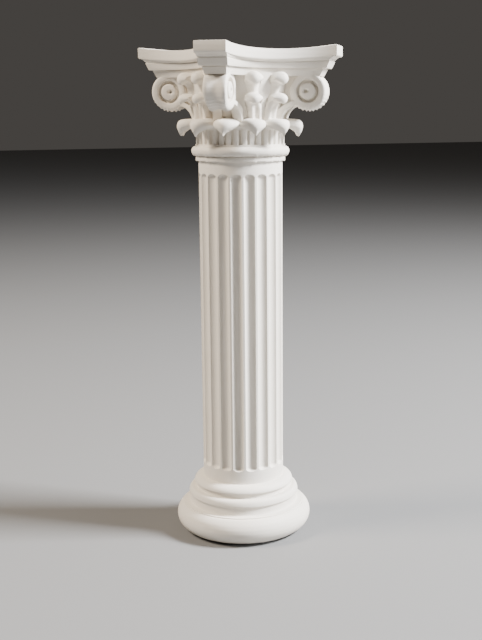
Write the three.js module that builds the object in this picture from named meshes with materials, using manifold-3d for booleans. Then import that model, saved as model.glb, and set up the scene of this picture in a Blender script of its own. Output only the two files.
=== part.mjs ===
// Model Corinthian column, about 150 mm tall, printed upright in one piece of warm white plastic.
// Millimetres, +Z up, origin at the middle of the underside. The sides of the abacus face X and Y,
// so its four corners and the volutes under them lie on the diagonals.
import * as THREE from "three";
import { mergeVertices } from "three/addons/utils/BufferGeometryUtils.js";
import Module from "manifold-3d";

const wasm = await Module();
wasm.setup();

// Base, from the ground up
const footRadius = 21.3;
const footHeight = 8.95;
const footBulge = 5.0;
const footWaist = 0.55;
const footFilletRadius = 18.9;
const footFilletHeight = 0.35;
const scotiaHeight = 1.75;
const scotiaDepth = 2.2;
const ringRadius = 17.4;
const ringHeight = 2.6;
const ringBulge = 1.35;
const quirkHeight = 1.65;
const quirkDepth = 0.6;
const quirkRound = 0.15;
const cushionRadius = 15.65;
const cushionHeight = 2.2;

// Shaft and its twenty flutes
const shaftRadius = 12.72;
const shaftHeight = 99.3;
const fluteCount = 20;
const fluteWidth = 3.5;
const fluteDepth = 1.05;
const fluteEndRise = 0.6;
const lowerBandHeight = 4.0;
const upperBandHeight = 3.7;

// Necking between shaft and capital
const neckFilletRadius = 13.55;
const neckFilletHeight = 1.1;
const neckQuirkRadius = 13.2;
const neckQuirkHeight = 0.35;
const astragalRadius = 14.83;
const astragalHeight = 2.75;
const collarRadius = 13.55;
const collarHeight = 0.6;

// Bell of the capital and the ribbed blades around its foot
const bellRadius = 12.9;
const bellLipRadius = 14.5;
const bellHeight = 20.6;
const leafCount = 12;
const bladeRadius = 13.35;
const bladeGapDepth = 0.75;
const bladeGrooveDepth = 0.5;
const bladeEdgeDepth = 0.15;

// Lower row of curled leaves, measured from the foot of the bell
const lowerLeafReach = 19.35;
const lowerLeafTop = 7.5;
const lowerLeafTip = 2.75;
const lowerLeafHook = 1.4;
const leafRoot = 12.0;

// Second row of leaves and the buds above it, a pair on each face
const pairSpread = 15.5;
const upperLeafReach = 19.0;
const upperLeafTop = 14.8;
const upperLeafTip = 11.6;
const upperLeafFoot = 6.6;
const upperLeafHalfAngle = 10;
const upperLeafDepth = 1.8;
const upperLeafTaper = 0.55;
const budReach = 19.0;
const budDrop = 2.0;
const budWidth = 5.4;
const budDepth = 3.9;
const budHeight = 4.8;
const stemWidth = 3.4;
const stemReach = 14.7;

// Volutes, one barrel under each corner
const voluteReach = 21.4;
const voluteDrop = 5.2;
const voluteRadius = 5.45;
const voluteWidth = 7.0;
const scrollDiscRadius = 2.75;
const scrollGrooveWidth = 0.65;
const scrollGrooveDepth = 0.8;
const scrollDiscDrop = 0.2;
const scrollRimRound = 0.8;
const treadHollow = 0.5;
const armWidth = 3.0;
const armOffset = 2.9;
const armReach = 13.5;
const armDepth = 2.2;
const webWidth = 4.0;
const webSetback = 1.2;

// Abacus: corner radius, half width of the cut corner and distance of the hollow side of each tier
const abacusCorner = 30.38;
const abacusCut = 4.6;
const abacusSide = 17.5;
const abacusSink = 0.8;
const seatMargin = 2.5;
const bandHeight = 3.15;
const bandRound = 0.6;
const coveHeight = 0.9;
const middleTierHeight = 2.45;
const lowerTierHeight = 2.1;
const middleTierInset = 2.2;
const middleTierSlope = 0.9;
const lowerTierInset = 1.05;
const lowerTierSlope = 1.0;
const coveSetback = 1.6;
const bandSetback = 0.7;
const sideDroop = 1.3;

// How finely round work is faceted
const turnedSides = 36;
const scrollSides = 14;
const fluteSides = 8;
const budSides = 8;
const leafSteps = 4;
const abacusSideSteps = 6;

const baseHeight = footHeight + footFilletHeight + scotiaHeight + ringHeight + quirkHeight
  + cushionHeight;
const shaftTop = baseHeight + shaftHeight;
const bellFoot = shaftTop + neckFilletHeight + neckQuirkHeight + astragalHeight + collarHeight;
const bellTop = bellFoot + bellHeight;
const abacusFoot = bellTop - abacusSink;
const budMiddleHeight = bellTop - budDrop;
const voluteMiddleHeight = bellTop - voluteDrop;
const degree = Math.PI / 180;

// A closed solid from points and triangles, turned so that its faces point outwards.
function solidFromFaces(points, faces) {
  const corner = new THREE.Vector3();
  let volume = 0;
  for (const [a, b, c] of faces) {
    volume += corner.crossVectors(points[a], points[b]).dot(points[c]);
  }
  const ordered = volume > 0 ? faces : faces.map(([a, b, c]) => [a, c, b]);
  const vertProperties = new Float32Array(points.flatMap((point) => point.toArray()));
  const triVerts = new Uint32Array(ordered.flat());
  return new wasm.Manifold(new wasm.Mesh({ numProp: 3, vertProperties, triVerts }));
}

// A three.js geometry as a solid.
function solidFromGeometry(geometry) {
  geometry.deleteAttribute("normal");
  geometry.deleteAttribute("uv");
  const merged = mergeVertices(geometry, 1e-4);
  const place = merged.getAttribute("position");
  const points = Array.from({ length: place.count },
    (_, i) => new THREE.Vector3().fromBufferAttribute(place, i));
  const index = Array.from(merged.getIndex().array);
  const faces = [];
  for (let i = 0; i < index.length; i += 3) {
    const face = index.slice(i, i + 3);
    if (new Set(face).size === 3) {
      faces.push(face);
    }
  }
  return solidFromFaces(points, faces);
}

// A profile of [radius, height] points turned about the Z axis.
function turned(profile, sides) {
  const points = profile.map(([radius, height]) => new THREE.Vector2(radius, height));
  return solidFromGeometry(new THREE.LatheGeometry(points, sides).rotateX(Math.PI / 2));
}

// The strips of triangles that join each closed ring of points to the next one.
function strips(rings, next) {
  const count = rings[0].length;
  const faces = [];
  for (const [from, to] of next) {
    for (let i = 0; i < count; i += 1) {
      const j = (i + 1) % count;
      const [a, b, c, d] = [from * count + i, from * count + j, to * count + j, to * count + i];
      faces.push([a, b, c], [a, c, d]);
    }
  }
  return faces;
}

// A skin that runs right round the column through a circle of rings.
function wreath(rings) {
  const next = rings.map((_, ring) => [ring, (ring + 1) % rings.length]);
  return solidFromFaces(rings.flat(), strips(rings, next));
}

// A skin over closed rings of points, with flat lids on the first and last ring.
function lofted(rings) {
  const count = rings[0].length;
  const points = rings.flat();
  const faces = strips(rings, rings.slice(1).map((_, ring) => [ring, ring + 1]));
  const flat = rings[0].map((point) => point.clone().sub(rings[0][0]));
  const normal = new THREE.Vector3();
  for (let i = 1; i + 1 < count; i += 1) {
    normal.add(new THREE.Vector3().crossVectors(flat[i], flat[i + 1]));
  }
  const across = flat[1].clone().normalize();
  const up = new THREE.Vector3().crossVectors(normal.normalize(), across);
  const outline = flat.map((point) => new THREE.Vector2(point.dot(across), point.dot(up)));
  const last = (rings.length - 1) * count;
  for (const [a, b, c] of THREE.ShapeUtils.triangulateShape(outline, [])) {
    faces.push([a, c, b], [last + a, last + b, last + c]);
  }
  return solidFromFaces(points, faces);
}

// Part of an ellipse as [radius, height] points, between two angles in degrees.
function ellipse(middleRadius, middleHeight, wide, high, from, to, steps) {
  return Array.from({ length: steps + 1 }, (_, i) => {
    const angle = (from + (to - from) * i / steps) * degree;
    return [middleRadius + wide * Math.cos(angle), middleHeight + high * Math.sin(angle)];
  });
}

// A point at a compass angle in degrees around the column.
function around(radius, angle, height) {
  return new THREE.Vector3(
    radius * Math.cos(angle * degree), radius * Math.sin(angle * degree), height);
}

// Everything that is round about the axis: base mouldings, shaft, necking and bell.
function turnedCore() {
  const filletFoot = footHeight;
  const waist = footHeight * footWaist;
  const scotiaFoot = filletFoot + footFilletHeight;
  const ringFoot = scotiaFoot + scotiaHeight;
  const quirkFoot = ringFoot + ringHeight;
  const cushionFoot = quirkFoot + quirkHeight;
  const quirkRadius = cushionRadius - quirkDepth;
  const astragalFoot = shaftTop + neckFilletHeight + neckQuirkHeight;
  const astragalBulge = astragalRadius - collarRadius;
  const profile = [
    [0, 0],
    ...ellipse(footRadius - footBulge, waist, footBulge, waist, -90, 0, 3),
    ...ellipse(footRadius - footBulge, waist, footBulge, waist, 26, 54, 1),
    [footFilletRadius, filletFoot],
    [footFilletRadius, scotiaFoot],
    ...ellipse(footFilletRadius, ringFoot, scotiaDepth, scotiaHeight, 255, 180, 2),
    ...ellipse(ringRadius - ringBulge, ringFoot + ringHeight / 2, ringBulge, ringHeight / 2,
      -60, 90, 4),
    [quirkRadius, quirkFoot + quirkHeight * quirkRound],
    [quirkRadius, cushionFoot - quirkHeight * quirkRound],
    ...ellipse(shaftRadius, cushionFoot, cushionRadius - shaftRadius, cushionHeight, 0, 86, 4),
    [shaftRadius, shaftTop],
    [neckFilletRadius, shaftTop],
    [neckFilletRadius, shaftTop + neckFilletHeight],
    [neckQuirkRadius, shaftTop + neckFilletHeight],
    [neckQuirkRadius, astragalFoot],
    ...ellipse(collarRadius, astragalFoot + astragalHeight / 2, astragalBulge,
      astragalHeight / 2, -80, 80, 4),
    [collarRadius, bellFoot],
    [bellRadius, bellFoot],
    [bellRadius, bellFoot + bellHeight * 0.6],
    [bellLipRadius, bellTop],
    [0, bellTop],
  ];
  return turned(profile, turnedSides);
}

// A rod with low domed ends whose inner side leaves one flute in the shaft.
function fluteCutter(angle) {
  const bore = (fluteWidth ** 2 / 4 + fluteDepth ** 2) / (2 * fluteDepth);
  const foot = baseHeight + lowerBandHeight;
  const top = shaftTop - upperBandHeight;
  const rise = bore * fluteEndRise;
  const endSteps = 2;
  const profile = [
    ...ellipse(0, foot + rise, bore, rise, -90, 0, endSteps),
    ...ellipse(0, top - rise, bore, rise, 0, 90, endSteps),
  ];
  profile[0][0] = 0;
  profile[profile.length - 1][0] = 0;
  const middle = around(shaftRadius - fluteDepth + bore, angle, 0);
  return turned(profile, fluteSides).rotate([0, 0, angle]).translate(middle.toArray());
}

// The ring of upright leaf blades: a rib between two grooves in each leaf, and a gap beside it.
function ribbedBlades() {
  const groove = bladeRadius - bladeGrooveDepth;
  const gap = bladeRadius - bladeGapDepth;
  const edge = bladeRadius - bladeEdgeDepth;
  const halves = [[0.16, bladeRadius], [0.3, groove], [0.44, bladeRadius], [0.86, edge]];
  const outline = new THREE.Shape();
  const points = [];
  for (let leaf = 0; leaf < leafCount; leaf += 1) {
    const step = 360 / leafCount;
    const middle = (leaf + 0.5) * step;
    points.push(around(gap, middle - step / 2, 0));
    for (const [share, radius] of [...halves].reverse()) {
      points.push(around(radius, middle - share * step / 2, 0));
    }
    for (const [share, radius] of halves) {
      points.push(around(radius, middle + share * step / 2, 0));
    }
  }
  outline.setFromPoints(points.map((point) => new THREE.Vector2(point.x, point.y)));
  const sunk = collarHeight / 2;
  const depth = sunk + (lowerLeafTip + lowerLeafTop) / 2;
  const ring = new THREE.ExtrudeGeometry(outline, { depth, bevelEnabled: false });
  return solidFromGeometry(ring.translate(0, 0, bellFoot - sunk));
}

// The slices of a leaf whose head curls outwards and hangs to a point. Its side outline is given
// as shares of its reach beyond the bell and of its height from tip to top, in the middle and at
// the edges. The last value of each row says how quickly the middle turns into the edge, and
// taper is the width of the leaf's foot as a share of its width above.
function leafSlices({ angle, halfAngle, taper, reach, tip, top, foot, bladeFoot, bladeHead }) {
  const rows = [
    { middle: [0.48, 0.38], edge: [0.32, 0.42], turn: 1.6 },
    { middle: [0.74, 0.0], edge: [0.44, 0.44], turn: 1.0 },
    { middle: [0.9, 0.08], edge: [0.5, 0.48], turn: 1.1 },
    { middle: [1.0, 0.44], edge: [0.54, 0.56], turn: 1.6 },
    { middle: [0.86, 0.8], edge: [0.46, 0.66], turn: 2.2 },
    { middle: [0.55, 1.0], edge: [0.36, 0.7], turn: 2.6 },
  ];
  const slices = [];
  for (let i = 0; i <= leafSteps; i += 1) {
    const side = -1 + 2 * i / leafSteps;
    const at = angle + side * halfAngle;
    const low = angle + side * halfAngle * taper;
    const slice = [around(leafRoot, low, foot), around(bladeFoot, low, foot)];
    for (const { middle, edge, turn } of rows) {
      const share = Math.abs(side) ** turn;
      const out = THREE.MathUtils.lerp(middle[0], edge[0], share);
      const up = THREE.MathUtils.lerp(middle[1], edge[1], share);
      slice.push(around(bladeHead + out * (reach - bladeHead), at, tip + up * (top - tip)));
    }
    slice.push(around(leafRoot, at, THREE.MathUtils.lerp(top, tip, Math.abs(side) * 0.3)));
    slices.push(slice);
  }
  return slices;
}

// The wreath of lower leaves, whose edges touch.
function lowerLeaves() {
  const step = 360 / leafCount;
  const slices = [];
  for (let leaf = 0; leaf < leafCount; leaf += 1) {
    slices.push(...leafSlices({
      angle: (leaf + 0.5) * step,
      halfAngle: step / 2,
      taper: 1,
      reach: lowerLeafReach,
      tip: bellFoot + lowerLeafTip,
      top: bellFoot + lowerLeafTop,
      foot: bellFoot + lowerLeafTip + lowerLeafHook,
      bladeFoot: bladeRadius - bladeGapDepth,
      bladeHead: bladeRadius - bladeGapDepth,
    }).slice(0, -1));
  }
  return wreath(slices);
}

// An upright slab that stands out from the axis, from its outline of [distance, height] points.
function uprightSlab(outline, width, offset) {
  const shape = new THREE.Shape(outline.map(([out, up]) => new THREE.Vector2(out, up)));
  const slab = new THREE.ExtrudeGeometry(shape, { depth: width, bevelEnabled: false });
  slab.translate(0, 0, -width / 2).rotateX(Math.PI / 2).translate(0, offset, 0);
  return solidFromGeometry(slab);
}

// A pair of leaves on each of the four faces, and over each leaf a round bud on a stem that bends
// out to it.
function facePairs() {
  const shapes = [];
  for (let face = 0; face < 4; face += 1) {
    for (const side of [-1, 1]) {
      const angle = face * 90 + side * pairSpread;
      const budMiddle = budReach - budDepth / 2;
      const bud = new THREE.SphereGeometry(0.5, budSides, budSides - 2).rotateX(Math.PI / 2)
        .scale(budDepth, budWidth, budHeight).translate(budMiddle, 0, budMiddleHeight)
        .rotateZ(angle * degree);
      const stemFoot = bellFoot + (upperLeafTip + upperLeafTop) / 2;
      const stem = [
        [leafRoot, stemFoot],
        [stemReach, stemFoot],
        [stemReach, budMiddleHeight - budHeight / 2],
        [budMiddle, budMiddleHeight],
        [stemReach, bellTop],
        [leafRoot, bellTop],
      ];
      shapes.push(
        solidFromGeometry(bud),
        uprightSlab(stem, stemWidth, 0).rotate([0, 0, angle]),
        lofted(leafSlices({
          angle,
          halfAngle: upperLeafHalfAngle,
          taper: upperLeafTaper,
          reach: upperLeafReach,
          tip: bellFoot + upperLeafTip,
          top: bellFoot + upperLeafTop,
          foot: bellFoot + upperLeafFoot,
          bladeFoot: bellRadius + upperLeafDepth / 2,
          bladeHead: bellRadius + upperLeafDepth,
        })),
      );
    }
  }
  return shapes;
}

// A volute: a barrel on its side with a ring groove in each end, the web that ties it to the
// bell, and the two arms that sweep up to it from behind the lower leaves.
function volute() {
  const rise = voluteMiddleHeight;
  const half = voluteWidth / 2;
  const grooveOut = scrollDiscRadius + scrollGrooveWidth;
  const end = [
    [0, half - scrollDiscDrop],
    [scrollDiscRadius, half - scrollDiscDrop],
    [scrollDiscRadius + scrollGrooveWidth * 0.4, half - scrollGrooveDepth],
    [grooveOut, half - scrollDiscDrop],
    [(grooveOut + voluteRadius) / 2, half],
    [voluteRadius, half - scrollRimRound],
  ];
  const mirrored = end.map(([radius, out]) => [radius, -out]);
  const profile = [...mirrored, [voluteRadius - treadHollow, 0], ...end.reverse()];
  const barrel = turned(profile, scrollSides).rotate([90, 0, 0])
    .translate([voluteReach, 0, rise]);
  const armFoot = bellFoot + lowerLeafTop - abacusSink;
  const armTop = rise - voluteRadius * 0.62;
  const front = [[0, 0], [0.12, 0.3], [0.34, 0.6], [0.66, 0.84], [1, 1]].map(([out, up]) => [
    THREE.MathUtils.lerp(armReach, voluteReach - voluteRadius * 0.6, out),
    THREE.MathUtils.lerp(armFoot, armTop, up),
  ]);
  const behind = (depth) => front.map(([out, up]) => [out - depth * 0.6, up + depth * 0.8]);
  const arm = [...front, ...behind(armDepth).reverse()];
  const web = [
    [leafRoot, armFoot],
    ...behind(webSetback),
    [voluteReach, rise],
    [voluteReach + voluteRadius / 2, bellTop],
    [leafRoot, bellTop],
  ];
  return [
    barrel,
    uprightSlab(web, webWidth, 0),
    uprightSlab(arm, armWidth, armOffset),
    uprightSlab(arm, armWidth, -armOffset),
  ];
}

// One level of the abacus as a ring: four cut corners joined by hollow arcs. The sides droop
// below the corners by a share that grows with the height of the tier.
function abacusRing({ corner, cut, side, height, droop }) {
  const cosine = Math.SQRT1_2;
  const arrisOut = (corner + cut) * cosine;
  const arrisAlong = (corner - cut) * cosine;
  const sag = arrisOut - side;
  const bend = (arrisAlong ** 2 + sag ** 2) / (2 * sag);
  const sweep = Math.asin(arrisAlong / bend);
  const furthest = arrisOut ** 2 + arrisAlong ** 2;
  const ring = [];
  for (let face = 0; face < 4; face += 1) {
    for (let i = 0; i <= abacusSideSteps; i += 1) {
      const turn = -sweep + 2 * sweep * i / abacusSideSteps;
      const out = side + bend * (1 - Math.cos(turn));
      const along = bend * Math.sin(turn);
      const low = droop * (furthest - out ** 2 - along ** 2) / (furthest - side ** 2);
      const point = new THREE.Vector3(out, along, height - low);
      ring.push(point.applyAxisAngle(new THREE.Vector3(0, 0, 1), face * Math.PI / 2));
    }
  }
  return ring;
}

// The abacus: a sloping neck, a middle tier, a cove and the top band, open to a flat middle.
function abacus() {
  const neckTop = abacusFoot + lowerTierHeight;
  const middleTop = neckTop + middleTierHeight;
  const bandFoot = middleTop + coveHeight;
  const top = bandFoot + bandHeight;
  const middleCorner = abacusCorner - middleTierInset;
  const middleFoot = middleCorner - middleTierSlope;
  const neckCorner = middleFoot - lowerTierInset;
  const tier = (corner, narrowing, height, droop) => abacusRing({
    corner,
    cut: abacusCut - narrowing,
    side: abacusSide - (abacusCorner - corner) * 0.6,
    height,
    droop: droop * sideDroop,
  });
  const rings = [
    tier(neckCorner - lowerTierSlope, 1.4, abacusFoot, 0),
    tier(neckCorner, 1.1, neckTop, 0),
    tier(middleFoot, 0.4, neckTop, 0.1),
    tier(middleCorner, 0.25, middleTop, 0.45),
    tier(abacusCorner - coveSetback, 0.15, middleTop + coveHeight / 4, 0.7),
    tier(abacusCorner - bandSetback, 0.05, bandFoot, 0.9),
    tier(abacusCorner, 0, bandFoot + bandRound, 0.95),
    tier(abacusCorner, 0, top, 1),
  ];
  const seat = rings[0].map((point) => around(abacusSide - seatMargin,
    Math.atan2(point.y, point.x) / degree, top - sideDroop));
  return lofted([...rings, seat]);
}

function column() {
  const flutes = Array.from({ length: fluteCount }, (_, i) => fluteCutter(i * 360 / fluteCount));
  const shapes = [ribbedBlades(), lowerLeaves(), ...facePairs(), abacus()];
  for (let corner = 0; corner < 4; corner += 1) {
    for (const shape of volute()) {
      shapes.push(shape.rotate([0, 0, 45 + corner * 90]));
    }
  }
  const whole = wasm.Manifold.union([turnedCore(), ...shapes]);
  return whole.subtract(wasm.Manifold.union(flutes));
}

// The joined solid as a named mesh of printed plastic.
function meshOf(name, solid, material) {
  const { numProp, vertProperties, triVerts } = solid.getMesh();
  const geometry = new THREE.BufferGeometry();
  geometry.setAttribute("position", new THREE.BufferAttribute(vertProperties, numProp));
  geometry.setIndex(new THREE.BufferAttribute(triVerts, 1));
  geometry.computeVertexNormals();
  const mesh = new THREE.Mesh(geometry, material);
  mesh.name = name;
  return mesh;
}

const printedPlastic = new THREE.MeshStandardMaterial({
  color: 0xe9e4da,
  roughness: 0.62,
  metalness: 0,
});

const model = new THREE.Group();
model.add(meshOf("column", column(), printedPlastic));

export default model;
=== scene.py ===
import math

import bpy
import numpy as np
from mathutils import Matrix, Vector


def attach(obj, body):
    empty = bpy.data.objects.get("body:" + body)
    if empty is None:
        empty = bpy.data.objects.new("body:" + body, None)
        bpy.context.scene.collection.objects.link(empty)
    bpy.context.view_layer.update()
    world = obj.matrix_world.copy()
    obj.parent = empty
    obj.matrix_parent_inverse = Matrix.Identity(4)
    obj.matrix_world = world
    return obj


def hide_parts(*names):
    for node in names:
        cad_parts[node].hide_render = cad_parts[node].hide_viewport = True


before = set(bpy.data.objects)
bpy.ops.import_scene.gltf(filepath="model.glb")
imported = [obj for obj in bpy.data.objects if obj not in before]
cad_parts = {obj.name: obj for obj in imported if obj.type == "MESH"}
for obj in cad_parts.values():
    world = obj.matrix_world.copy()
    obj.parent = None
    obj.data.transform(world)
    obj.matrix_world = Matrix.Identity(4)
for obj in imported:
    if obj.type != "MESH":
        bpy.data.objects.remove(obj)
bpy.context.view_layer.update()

# The column. The real piece is a desk-size Corinthian column of matte warm white plastic, printed
# upright in one go. Its overhangs show how it was made: the undersides of fillets and scrolls sag
# in small drips, and the tips of the leaves hang ragged. Sizes are in millimetres.
rng = np.random.default_rng(7)
to_metres = 0.001


def rounded(rows, cut):
    """Each sharp inner corner of a line of points is cut back by a set distance along both of its
    sides, and a third point is set between the cut and the old corner, so the corner reads as
    rounded. A corner counts as sharp where the line turns by more than about 25 degrees there."""
    rows = np.asarray(rows, float)
    here = rows[1:-1]
    ways = np.stack([rows[:-2] - here, rows[2:] - here])
    lengths = np.linalg.norm(ways, axis=2, keepdims=True) + 1e-9
    first, last = here + ways * np.minimum(cut / lengths, 0.45)
    unit = ways / lengths
    sharp = -np.einsum("ij,ij->i", unit[0], unit[1]) < math.cos(math.radians(25))
    middle = np.where(sharp[:, None], 0.25 * first + 0.5 * here + 0.25 * last, here)
    inner = np.stack([first, middle, last], axis=1)
    kept = np.stack([sharp, np.ones_like(sharp), sharp], axis=1)
    return np.vstack([rows[:1], inner[kept], rows[-1:]])


def arc(middle, size, start, end, steps):
    """Points on an ellipse about a middle point: middle + size * (cos a, sin a), with the angle a
    running evenly from start to end in degrees."""
    angle = np.radians(np.linspace(start, end, steps + 1))
    across = middle[0] + size[0] * np.cos(angle)
    return np.column_stack([across, middle[1] + size[1] * np.sin(angle)])


def spline_weights(count, samples, closed):
    """Weights of a Catmull-Rom curve through count control points, as a samples by count matrix:
    the usual cubic blend of the four points around each place along the curve."""
    if closed:
        place = np.arange(samples) * count / samples
    else:
        place = np.linspace(0, count - 1, samples)
    cell = np.minimum(np.floor(place).astype(int), count - 1 if closed else count - 2)
    t = place - cell
    blend = 0.5 * np.stack([
        -t + 2 * t**2 - t**3,
        2 - 5 * t**2 + 3 * t**3,
        t + 4 * t**2 - 3 * t**3,
        -t**2 + t**3,
    ], axis=1)
    weights = np.zeros((samples, count))
    for k in range(4):
        at = cell + k - 1
        at = at % count if closed else np.clip(at, 0, count - 1)
        np.add.at(weights, (np.arange(samples), at), blend[:, k])
    return weights


def shell(points, ring=False):
    """A closed skin over a grid of points, rows by columns by xyz. The columns close on themselves.
    The rows do so too when ring is set; otherwise a fan about their middle closes the first and the
    last row. Faces point outwards: the sign of the enclosed volume decides their order."""
    rows, columns = points.shape[:2]
    verts = points.reshape(-1, 3)
    row = np.arange(rows if ring else rows - 1)[:, None]
    column = np.arange(columns)[None, :]
    a = row * columns + column
    b = row * columns + (column + 1) % columns
    c = (row + 1) % rows * columns + (column + 1) % columns
    d = (row + 1) % rows * columns + column
    halves = np.stack([a, b, c], -1), np.stack([a, c, d], -1)
    tris = np.concatenate([half.reshape(-1, 3) for half in halves])
    if not ring:
        first, last = len(verts), len(verts) + 1
        verts = np.vstack([verts, points[0].mean(axis=0), points[-1].mean(axis=0)])
        here = np.arange(columns)
        there = (here + 1) % columns
        end = (rows - 1) * columns
        tris = np.concatenate([
            tris,
            np.column_stack([there, here, np.full(columns, first)]),
            np.column_stack([end + here, end + there, np.full(columns, last)]),
        ])
    p, q, r = (verts[tris[:, k]] for k in range(3))
    if np.einsum("ij,ij->i", np.cross(p, q), r).sum() < 0:
        tris = tris[:, ::-1]
    return verts, tris


def spread(verts, angles):
    """The points turned about the Z axis by each of the angles in degrees: one copy per angle."""
    turn = np.radians(np.asarray(angles, float))[:, None]
    x, y, z = verts.T
    return np.stack([
        x * np.cos(turn) - y * np.sin(turn),
        x * np.sin(turn) + y * np.cos(turn),
        np.broadcast_to(z, (len(angles), len(z))),
    ], axis=-1)


def mesh_object(name, shells):
    """One mesh object from several closed skins, scaled from millimetres to metres."""
    starts = np.cumsum([0] + [len(verts) for verts, _ in shells])
    verts = np.vstack([verts for verts, _ in shells]) * to_metres
    tris = np.vstack([tris + start for (_, tris), start in zip(shells, starts)])
    mesh = bpy.data.meshes.new(name)
    mesh.vertices.add(len(verts))
    mesh.vertices.foreach_set("co", verts.ravel())
    mesh.loops.add(tris.size)
    mesh.loops.foreach_set("vertex_index", tris.ravel())
    mesh.polygons.add(len(tris))
    mesh.polygons.foreach_set("loop_start", np.arange(0, tris.size, 3))
    mesh.update(calc_edges=True)
    obj = bpy.data.objects.new(name, mesh)
    bpy.context.collection.objects.link(obj)
    return obj


def copies(part, angles):
    """A closed skin repeated about the Z axis."""
    verts, tris = part
    return [(turned, tris) for turned in spread(verts, angles)]


# Base, shaft, necking and bell: one profile turned about the axis, with twenty flutes let into the
# shaft. All of it is printed as one body with the leaves and the abacus above.
shaft_radius, flute_foot, flute_top = 12.72, 21.5, 113.1
flute_half, flute_depth, flute_count, end_share = 1.75, 1.05, 20, 0.6
base_profile = rounded(np.vstack([
    arc((16.3, 4.66), (5.0, 4.66), -90, 54.5, 18),
    [(18.85, 8.47), (18.85, 8.8)],
    [(17.5, 8.85), (17.2, 8.95), (17.05, 9.15), (16.95, 9.6), (16.9, 10.6), (16.85, 11.6),
     (17.3, 11.62)],
    arc((16.05, 11.85), (1.35, 1.95), -6, 90, 9),
    [(15.05, 13.8), (15.05, 15.2)],
    arc((12.72, 15.3), (2.93, 2.2), 0, 84, 10),
    [(shaft_radius, 17.5), (shaft_radius, 18.5)],
]), 0.14)
neck_profile = rounded(np.vstack([
    [(shaft_radius, 115.6), (shaft_radius, 116.8), (13.55, 116.8), (13.55, 117.9),
     (13.2, 117.95), (13.2, 118.25)],
    arc((13.55, 119.625), (1.28, 1.375), -78, 78, 12),
    [(13.55, 121.0), (13.55, 121.6), (12.4, 121.6), (12.4, 126.0), (13.4, 131.0),
     (14.2, 135.0), (14.9, 139.0), (15.2, 142.2)],
]), 0.14)
flute_bore = (flute_half**2 + flute_depth**2) / (2 * flute_depth)
end_rise = flute_bore * end_share * (1 - np.cos(np.radians(np.linspace(0, 90, 9))))
shaft_rows = np.concatenate([flute_foot + end_rise, flute_top - end_rise[::-1]])
profile = np.vstack([
    base_profile,
    np.column_stack([np.full(len(shaft_rows), shaft_radius), shaft_rows]),
    neck_profile,
])
flute_columns = np.array([-9, -8.4, -7.95, -7.6, -6.8, -5.5, -3.8, -1.9, 0, 1.9, 3.8, 5.5, 6.8,
                          7.6, 7.95, 8.4])
around = np.radians((np.arange(flute_count)[:, None] * 18 + flute_columns).ravel())
off = np.radians(np.tile(flute_columns, flute_count))


def fluted(radius, height):
    """Radius of the surface at each height and column. A flute is the inner side of a round rod of
    radius b whose middle line lies at distance c from the axis: c cos t - sqrt(b^2 - c^2 sin^2 t)
    at the angle t from the flute's middle. At the rod's domed ends b shrinks as a flat ball does."""
    middle = shaft_radius - flute_depth + flute_bore
    dome = flute_bore * end_share
    nearest = np.clip(height, flute_foot + dome, flute_top - dome)
    left = flute_bore**2 - ((height - nearest) / end_share) ** 2
    inside = left[:, None] - (middle * np.sin(off)) ** 2
    hollow = middle * np.cos(off) - np.sqrt(np.maximum(inside, 0))
    return np.where(inside > 0, np.minimum(hollow, radius[:, None]), radius[:, None])


def sagging(radius, height):
    """How far each point hangs below its own height: a sum of three waves round the column, on the
    undersides of the fillet and of the round moulding above the shaft only."""
    wave = (np.sin(17 * around) + np.sin(43 * around + 1.3) + np.sin(71 * around + 0.4)) / 3
    fillet = np.exp(-((height - 116.85) / 0.3) ** 2) * (radius > 13.0)
    moulding = np.exp(-((height - 118.45) / 0.35) ** 2) * (radius > 13.3)
    longest_drip = 0.3
    return longest_drip * (fillet + moulding)[:, None] * np.maximum(wave + 0.2, 0)[None, :]


core_radius = fluted(profile[:, 0], profile[:, 1])
core_height = profile[:, 1][:, None] - sagging(profile[:, 0], profile[:, 1])
core = shell(np.stack(
    [core_radius * np.cos(around), core_radius * np.sin(around), core_height], -1))


# Ring of upright blades at the foot of the bell: a rib between two grooves, and gaps between.
def blade_ring():
    """Twelve leaves of 30 degrees each. The radius falls in a narrow bell curve at each groove and
    in a deeper one at each gap, and grows a little with height."""
    part = np.linspace(-15, 15, 24, endpoint=False)
    angle = np.radians((np.arange(12)[:, None] * 30 + 15 + part).ravel())
    local = np.abs(np.tile(part, 12))
    cut = 0.75 * np.exp(-((local - 4.6) / 1.3) ** 2) + 1.1 * np.exp(-((15 - local) / 1.7) ** 2)
    rows = np.array([(11.8, 121.2, 0), (13.35, 121.2, 1), (13.35, 122.4, 1), (13.42, 124.4, 1),
                     (13.6, 126.4, 0.8), (13.6, 127.4, 0.5), (11.8, 127.6, 0)])
    radius = rows[:, :1] - rows[:, 2:] * cut
    height = np.broadcast_to(rows[:, 1:2], radius.shape)
    return shell(np.stack([radius * np.cos(angle), radius * np.sin(angle), height], -1), ring=True)


blades = blade_ring()


def curled(rows, edge, side):
    """The skin of a curled leaf in its own frame. Each row holds distance, height, half width, the
    two powers and the dent. The section runs from the rows in the middle to the edge rows by a
    power of the distance from the middle, one for distance and one for height, and a bell curve
    across the leaf hollows its front by the dent."""
    rows, edge = np.asarray(rows, float), np.asarray(edge, float)
    share = np.abs(side)[:, None]
    hollow = rows[:, 5] * np.exp(-((side[:, None] + 0.1) / 0.36) ** 2)
    out = rows[:, 0] + (edge[:, 0] - rows[:, 0]) * share ** rows[:, 3] - hollow
    up = rows[:, 1] + (edge[:, 1] - rows[:, 1]) * share ** rows[:, 4]
    along = side[:, None] * rows[:, 2]
    return np.stack([out, along, up], -1)


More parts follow.
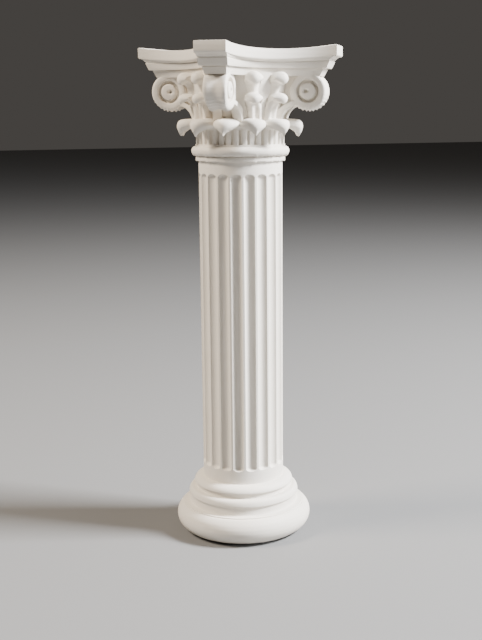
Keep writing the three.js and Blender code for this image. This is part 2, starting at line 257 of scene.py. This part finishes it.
# Lower row: twelve leaves whose heads curl out and hang to a point, joined in one wreath.
def lower_wreath():
    """One curled leaf every 30 degrees, laid round the axis, its section closed and smooth. Each
    leaf hangs by its own amount, and two waves across its underside leave it ragged."""
    rows = [(12.0, 125.2, 15, 1, 1, 0), (13.3, 125.8, 15, 1, 1, 0), (14.8, 126.5, 15, 1.4, 1.1, 0),
            (16.1, 126.8, 15, 1.4, 0.9, 0), (17.1, 125.8, 15, 1.4, 0.7, 0),
            (17.8, 124.3, 15, 1.5, 0.62, 0), (18.3, 124.2, 15, 1.5, 0.62, 0),
            (18.9, 125.1, 15, 1.7, 0.75, 0), (19.35, 126.6, 15, 2.0, 1.3, 0),
            (19.1, 127.9, 15, 2.3, 2.4, 0), (18.3, 128.7, 15, 2.5, 3.0, 0),
            (16.9, 129.0, 15, 2.5, 3.0, 0), (15.0, 129.1, 15, 2.4, 2.8, 0),
            (13.6, 129.3, 15, 2.0, 2.4, 0), (12.0, 129.6, 15, 1, 1, 0)]
    edge = [(12.0, 125.3), (12.9, 125.8), (13.6, 126.3), (14.1, 126.6), (14.6, 126.75),
            (14.8, 126.9), (15.0, 127.0), (15.1, 127.15), (15.15, 127.3), (15.05, 127.55), (14.8, 127.75),
            (14.4, 127.9), (13.7, 128.1), (13.0, 128.3), (12.0, 128.5)]
    side = np.linspace(-1, 1, 24, endpoint=False)
    leaf = curled(rows, edge, side)
    leaf = np.einsum("sc,kcx->ksx", spline_weights(len(rows), 40, True), leaf)
    radius, part, height = (leaf[None, ..., k] for k in range(3))
    leaf_number = np.arange(12)[:, None, None]
    hang = rng.uniform(-0.3, 0.1, 12)[:, None, None]
    low = np.clip((126.8 - height) / 2.4, 0, 1) * np.clip((radius - 14.5) / 2.5, 0, 1)
    wave = np.sin(part * 2.3 + leaf_number * 1.7) * np.sin(radius * 4.1 + leaf_number)
    height = height + hang * low + 0.2 * wave * low
    angle = np.radians(leaf_number * 30 + 15 + part) + 0 * radius
    radius = radius + 0 * angle
    points = np.stack([radius * np.cos(angle), radius * np.sin(angle), height + 0 * angle], -1)
    return shell(points.reshape(-1, leaf.shape[1], 3), ring=True)


lower_leaves = lower_wreath()

# Second row: a pair of leaves on each face, their stems leaning in towards the face's middle, and
# over each leaf a stalk that ends in a round hooded bud.
pair_spread = 15.5


def hooded(rows, edge, lean, side_sign):
    """A closed curled leaf, smooth along its section and round at both sides. Its lower rows lean
    towards the middle of the face by the given amounts."""
    side = np.sin(np.radians(np.linspace(-90, 90, 19)))
    leaf = curled(rows, edge, side)
    leaf[..., 1] -= np.asarray(lean, float)
    leaf[..., 1] *= side_sign
    return shell(np.einsum("sc,kcx->ksx", spline_weights(len(rows), 44, True), leaf))


curl_rows = [(12.4, 127.6, 2.1, 1, 1, 0), (14.5, 127.6, 2.1, 4.0, 1, 0.7),
             (14.8, 130.0, 2.15, 4.0, 1, 0.85), (15.2, 132.0, 2.3, 3.6, 1, 0.8),
             (15.6, 133.6, 2.55, 2.4, 1, 0.3), (16.3, 134.2, 2.65, 2.0, 1.2, 0),
             (17.1, 133.9, 2.65, 2.0, 1.2, 0), (17.8, 133.2, 2.65, 2.0, 1.2, 0),
             (18.5, 133.6, 2.7, 2.0, 1.4, 0), (18.85, 134.7, 2.7, 2.0, 1.8, 0),
             (18.4, 135.7, 2.65, 2.0, 2.2, 0), (17.2, 136.3, 2.5, 2.0, 2.4, 0),
             (15.6, 136.5, 2.3, 2.0, 2.4, 0), (13.8, 136.8, 2.1, 1.5, 2, 0),
             (12.4, 137.0, 1.9, 1, 1, 0)]
curl_edge = [(12.4, 127.6), (13.0, 127.6), (13.1, 130.0), (13.5, 132.0), (14.0, 133.8),
             (14.8, 134.4), (15.5, 134.5), (16.0, 134.5), (16.4, 134.7), (16.5, 135.0),
             (16.2, 135.3), (15.5, 135.5), (14.5, 135.6), (13.4, 135.8), (12.4, 136.0)]
curl_lean = (1.1, 1.1, 1.05, 0.9, 0.4, 0.1, 0, 0, 0, 0, 0, 0, 0, 0, 0)
bud_rows = [(12.4, 135.6, 2.4, 1, 1, 0), (15.4, 135.6, 2.3, 2, 1, 0),
            (15.8, 137.0, 2.2, 2, 1, 0), (16.4, 138.3, 2.3, 2, 1, 0),
            (17.1, 138.9, 2.55, 2, 1.2, 0), (17.7, 138.8, 2.65, 2, 1.2, 0),
            (18.2, 138.8, 2.65, 2, 1.2, 0), (18.75, 139.3, 2.7, 2, 1.5, 0),
            (19.05, 140.3, 2.7, 2, 2, 0), (18.8, 141.4, 2.7, 2, 2, 0), (18.0, 142.2, 2.6, 2, 2, 0),
            (16.6, 142.5, 2.4, 2, 2, 0), (14.6, 142.4, 2.2, 1.6, 2, 0), (12.4, 142.4, 2.2, 1, 1, 0)]
bud_edge = [(12.4, 135.6), (13.3, 135.6), (13.6, 137.2), (14.2, 138.9), (15.2, 139.8),
            (16.0, 140.0), (16.6, 140.1), (17.0, 140.3), (17.1, 140.6), (16.9, 140.9), (16.4, 141.2),
            (15.5, 141.4), (14.2, 141.6), (12.4, 141.8)]
bud_lean = (0.3, 0.3, 0.2, 0.1) + (0,) * 10
pair_parts = []
for sign in (-1, 1):
    angles = [90 * face + sign * pair_spread for face in range(4)]
    pair_parts += [copies(hooded(curl_rows, curl_edge, curl_lean, sign), angles),
                   copies(hooded(bud_rows, bud_edge, bud_lean, sign), angles)]
corner_angles = [45, 135, 225, 315]


# Volutes: a barrel on its side under each corner, with a grooved scroll face on both ends.
def volute():
    """A profile turned about the barrel's own level axis. The tread is hollow across its width, the
    barrel narrows downwards, drips hang from its underside, and the eye is a small round dimple
    beside the middle of the disc, towards the column."""
    reach, rise, radius, half = 21.4, 137.0, 5.45, 3.5
    disc, groove, groove_floor = 2.45, 0.95, 1.9
    face = rounded([
        (0.05, 3.45), (0.25, 3.45), (0.45, 3.45), (0.65, 3.44), (0.85, 3.43), (1.15, 3.41),
        (1.7, 3.38), (2.1, 3.34), (disc - 0.1, 3.24), (disc + 0.08, groove_floor),
        (disc + groove - 0.12, groove_floor), (disc + groove, 3.3), (3.8, 3.42), (4.5, half),
        (5.0, 3.42), (5.35, 3.15), (radius, 2.7), (5.35, 1.9), (5.12, 1.1), (4.98, 0.5)], 0.12)
    line = np.vstack([face[:-1], [(4.95, 0)], face[::-1][1:] * (1, -1)])
    steps = 96
    turn = np.radians(np.arange(steps) * 360 / steps)[None, :]
    size, across = line[:, :1], line[:, 1:2]
    below = np.maximum(-np.sin(turn) * size / radius, 0)
    drip = 0.45 * np.maximum(np.sin(30 * turn + 0.6), 0) * below**2 * (size > 4.4)
    narrow = 1 - 0.24 * below**2 * np.clip(np.cos(turn) * size / radius + 0.6, 0, 1)
    out = reach + (size + drip) * np.cos(turn)
    up = rise + (size + drip) * np.sin(turn)
    eye_shift, eye_size, eye_depth = 0.45, 0.5, 1.5
    eye = np.hypot(out - (reach - eye_shift), 1.3 * (up - rise))
    dimple = eye_depth * np.exp(-((eye / eye_size) ** 2))
    along = np.sign(across) * (np.abs(across) * narrow - dimple * (np.abs(across) > 3.3))
    return shell(np.stack([out, along, up + 0 * along], -1))


volutes = copies(volute(), corner_angles)


def slab(outline, width, offset, cut, pinch=0.0):
    """A closed outline of distance and height, given a width across the corner's plane. Its long
    edges are rounded: near both sides the outline shrinks towards its own inner corner. The
    offset from the corner's plane falls by the share pinch towards the outline's far end."""
    outline = np.asarray(outline, float)
    outline = spline_weights(len(outline), 36, True) @ outline
    depth = np.array([1, 0.5, 0.15, 0, 0, 0.15, 0.5, 1])
    at = np.array([-1, -0.93, -0.8, -0.6, 0.6, 0.8, 0.93, 1]) * width / 2
    inner = np.array([12.2, outline[:, 1].max()])
    way = inner - outline
    way /= np.linalg.norm(way, axis=1, keepdims=True) + 1e-9
    points = outline[None] + way[None] * (depth * cut)[:, None, None]
    far = np.clip((points[..., 0] - 13.0) / 5.0, 0, 1)
    along = at[:, None] + offset * (1 - pinch * far)
    return shell(np.stack([points[..., 0], along, points[..., 1]], -1))


# Arms and webs: what carries each volute, two sweeping arms with a dark groove between them.
arm_line = [(12.2, 128.3), (13.6, 128.3), (14.1, 129.6), (14.9, 131.0), (16.2, 132.2),
            (17.9, 132.9), (19.0, 133.5), (18.4, 134.3), (16.8, 133.8), (15.2, 133.0),
            (13.9, 132.0), (12.8, 131.0), (12.2, 130.0)]
web_line = [(12.2, 129.0), (12.9, 129.4), (13.6, 131.0), (14.9, 132.6), (17.4, 134.4),
            (21.4, 137.0), (23.4, 141.0), (23.2, 142.3), (17.0, 142.3), (12.2, 142.3),
            (12.2, 135.5)]
arm_width, arm_offset, web_width = 2.8, 3.1, 4.6
arms_right = copies(slab(arm_line, arm_width, arm_offset, 0.45, 0.35), corner_angles)
arms_left = copies(slab(arm_line, arm_width, -arm_offset, 0.45, 0.35), corner_angles)
webs = copies(slab(web_line, web_width, 0.0, 0.3), corner_angles)


# Abacus: four cut corners joined by hollow sides, stepped in tiers, its sides drooping.
def abacus():
    """Each row is one level: corner radius, half width of the cut corner, distance of the hollow
    side, height and droop. A side is an arc through its two corner edges, and it hangs below them
    by the droop times its closeness to the column. Inside the top edge lies a flat seat."""
    rows = rounded([
        (25.1, 3.15, 14.3, 141.3, 0.0), (26.2, 3.5, 15.0, 143.2, 0.0),
        (26.0, 3.45, 14.7, 143.22, 0.05), (26.0, 3.45, 14.7, 143.5, 0.05),
        (27.25, 4.2, 15.6, 143.5, 0.1), (28.2, 4.35, 16.2, 145.5, 0.42),
        (28.0, 4.3, 15.85, 145.55, 0.45), (28.0, 4.3, 15.85, 145.8, 0.5),
        (28.35, 4.4, 16.3, 145.95, 0.6), (28.7, 4.45, 16.5, 146.35, 0.75),
        (29.3, 4.5, 16.9, 146.75, 0.88), (30.1, 4.58, 17.35, 146.85, 0.93),
        (30.38, 4.6, 17.5, 147.2, 0.95), (30.38, 4.6, 17.5, 150.0, 1.0),
        (29.6, 4.5, 17.0, 150.0, 1.0)], 0.14)
    corner, cut, side, height, droop = (rows[:, k:k + 1] for k in range(5))
    out_end, along_end = (corner + cut) * math.sqrt(0.5), (corner - cut) * math.sqrt(0.5)
    sag = out_end - side
    bend = (along_end**2 + sag**2) / (2 * sag)
    sweep = np.arcsin(along_end / bend)
    turn = sweep * np.linspace(-1, 1, 29)[None, :]
    out = side + bend * (1 - np.cos(turn))
    along = bend * np.sin(turn)
    furthest = out_end**2 + along_end**2
    low = 1.3 * droop * (furthest - out**2 - along**2) / (furthest - side**2)
    level = height - low
    edge = np.hypot(out[-1], along[-1])
    seat_radius, seat_height = 15.0, 148.7
    seat = np.stack([seat_radius * out[-1] / edge, seat_radius * along[-1] / edge,
                     np.full_like(edge, seat_height)], -1)
    quarter = np.concatenate([np.stack([out, along, level], -1), seat[None]])
    next_start = np.stack([-quarter[:, 0, 1], quarter[:, 0, 0], quarter[:, 0, 2]], -1)
    cut_middle = (quarter[:, -1:] + next_start[:, None]) * 0.5
    quarter = np.concatenate([quarter, cut_middle], axis=1)
    faces = spread(quarter.reshape(-1, 3), [0, 90, 180, 270])
    ring = np.concatenate([face.reshape(quarter.shape) for face in faces], axis=1)
    return shell(ring)


abacus_skin = abacus()

column = mesh_object("column_print", [core])
parts = [
    mesh_object("blades", [blades]),
    mesh_object("lower_leaves", [lower_leaves]),
    *(mesh_object("face_leaves", shells) for shells in pair_parts),
    mesh_object("arms_right", arms_right),
    mesh_object("arms_left", arms_left),
    mesh_object("webs", webs),
    mesh_object("volutes", volutes),
    mesh_object("abacus", [abacus_skin]),
]
for part in parts:
    join = column.modifiers.new(part.name, "BOOLEAN")
    join.operation = "UNION"
    join.solver = "MANIFOLD"
    join.object = part
depsgraph = bpy.context.evaluated_depsgraph_get()
joined = bpy.data.meshes.new_from_object(column.evaluated_get(depsgraph))
column.modifiers.clear()
column.data = joined
for part in parts:
    bpy.data.objects.remove(part)
joined.shade_smooth()
joined.set_sharp_from_angle(angle=math.radians(38))

# The plastic: warm white with a faint patchy tone, dull with uneven gloss, and finely ribbed by the
# printed layers.
plastic = bpy.data.materials.new("printed_plastic")
plastic.use_nodes = True
nodes, links = plastic.node_tree.nodes, plastic.node_tree.links
shader = nodes["Principled BSDF"]
shader.inputs["Specular IOR Level"].default_value = 0.35
place = nodes.new("ShaderNodeTexCoord")
tone_noise = nodes.new("ShaderNodeTexNoise")
tone_noise.inputs["Scale"].default_value = 60
tone_noise.inputs["Detail"].default_value = 3
tone = nodes.new("ShaderNodeMix")
tone.data_type = "RGBA"
tone.inputs["A"].default_value = (0.79, 0.745, 0.675, 1)
tone.inputs["B"].default_value = (0.72, 0.67, 0.59, 1)
links.new(place.outputs["Object"], tone_noise.inputs["Vector"])
links.new(tone_noise.outputs["Fac"], tone.inputs["Factor"])
links.new(tone.outputs["Result"], shader.inputs["Base Color"])
gloss_noise = nodes.new("ShaderNodeTexNoise")
gloss_noise.inputs["Scale"].default_value = 400
gloss = nodes.new("ShaderNodeMapRange")
gloss.inputs["To Min"].default_value = 0.52
gloss.inputs["To Max"].default_value = 0.68
links.new(place.outputs["Object"], gloss_noise.inputs["Vector"])
links.new(gloss_noise.outputs["Fac"], gloss.inputs["Value"])
links.new(gloss.outputs["Result"], shader.inputs["Roughness"])
layers = nodes.new("ShaderNodeTexWave")
layers.wave_type = "BANDS"
layers.bands_direction = "Z"
layer_height, wave_width = 0.0002, 20
layers.inputs["Scale"].default_value = 1 / (layer_height * wave_width)
layers.inputs["Distortion"].default_value = 0.4
links.new(place.outputs["Object"], layers.inputs["Vector"])
grain = nodes.new("ShaderNodeTexNoise")
grain.inputs["Scale"].default_value = 900
links.new(place.outputs["Object"], grain.inputs["Vector"])
relief = nodes.new("ShaderNodeMath")
relief.operation = "ADD"
links.new(layers.outputs["Fac"], relief.inputs[0])
links.new(grain.outputs["Fac"], relief.inputs[1])
bump = nodes.new("ShaderNodeBump")
bump.inputs["Strength"].default_value = 0.25
bump.inputs["Distance"].default_value = 0.00004
links.new(relief.outputs["Value"], bump.inputs["Height"])
links.new(bump.outputs["Normal"], shader.inputs["Normal"])
joined.materials.clear()
joined.materials.append(plastic)

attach(column, "root")
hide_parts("column")

# Floor, lights and camera, which aren't part of the column.
floor_mesh = bpy.data.meshes.new("floor")
floor_mesh.from_pydata([(-4, -4, 0), (4, -4, 0), (4, 4, 0), (-4, 4, 0)], [], [(0, 1, 2, 3)])
floor = bpy.data.objects.new("floor", floor_mesh)
bpy.context.collection.objects.link(floor)
floor_paint = bpy.data.materials.new("floor_paint")
floor_paint.use_nodes = True
floor_shader = floor_paint.node_tree.nodes["Principled BSDF"]
floor_shader.inputs["Base Color"].default_value = (0.17, 0.17, 0.17, 1)
floor_shader.inputs["Roughness"].default_value = 0.8
floor_mesh.materials.append(floor_paint)

world = bpy.data.worlds.new("studio")
bpy.context.scene.world = world
world.use_nodes = True
sky = world.node_tree.nodes["Background"]
sky.inputs["Color"].default_value = (0.66, 0.61, 0.56, 1)
sky.inputs["Strength"].default_value = 0.10

focal_pixels, picture_height, side_shift = 1037.2, 640, 40.5
pitch, roll, yaw = math.radians(11.026), math.radians(-0.135), math.radians(2.22)
camera_distance, camera_height = 0.3193, 0.12929
view_turn = math.radians(-29.53)
level = Vector((math.sin(yaw), math.cos(yaw), 0))
forward = level * math.cos(pitch) - Vector((0, 0, math.sin(pitch)))
right = Vector((math.cos(yaw), -math.sin(yaw), 0))
up = right.cross(forward)
right_rolled = right * math.cos(roll) + up * math.sin(roll)
up_rolled = up * math.cos(roll) - right * math.sin(roll)
stand = Matrix((right_rolled, up_rolled, -forward)).transposed().to_4x4()
stand.translation = Vector((0, -camera_distance, camera_height))
camera_data = bpy.data.cameras.new("camera")
camera_data.sensor_fit = "VERTICAL"
camera_data.sensor_height = 36
camera_data.lens = focal_pixels / picture_height * camera_data.sensor_height
camera_data.shift_x = -side_shift / picture_height
camera = bpy.data.objects.new("camera", camera_data)
bpy.context.collection.objects.link(camera)
camera.matrix_world = Matrix.Rotation(view_turn, 4, "Z") @ stand
bpy.context.scene.camera = camera

# Each light: its place right, up and behind the column as the camera sees it, watts, size and
# colour. All of them look at the same place, a little above the middle of the column.
for name, (side, rise, ahead), watts, size, colour in (
    ("key", (0.60, 0.58, -0.10), 37.0, 0.20, (0.97, 0.98, 1.0)),
    ("low_key", (0.62, 0.18, -0.20), 2.5, 0.25, (0.97, 0.98, 1.0)),
    ("fill", (-0.52, 0.58, -0.08), 9.5, 0.20, (1.0, 0.87, 0.72)),
):
    lamp_data = bpy.data.lights.new(name, "AREA")
    lamp_data.energy = watts
    lamp_data.size = size
    lamp_data.color = colour
    lamp = bpy.data.objects.new(name, lamp_data)
    bpy.context.collection.objects.link(lamp)
    lamp.location = Matrix.Rotation(view_turn, 4, "Z") @ Vector((side, ahead, rise))
    towards = Vector((0, 0, 0.09)) - lamp.location
    lamp.rotation_euler = towards.to_track_quat("-Z", "Y").to_euler()
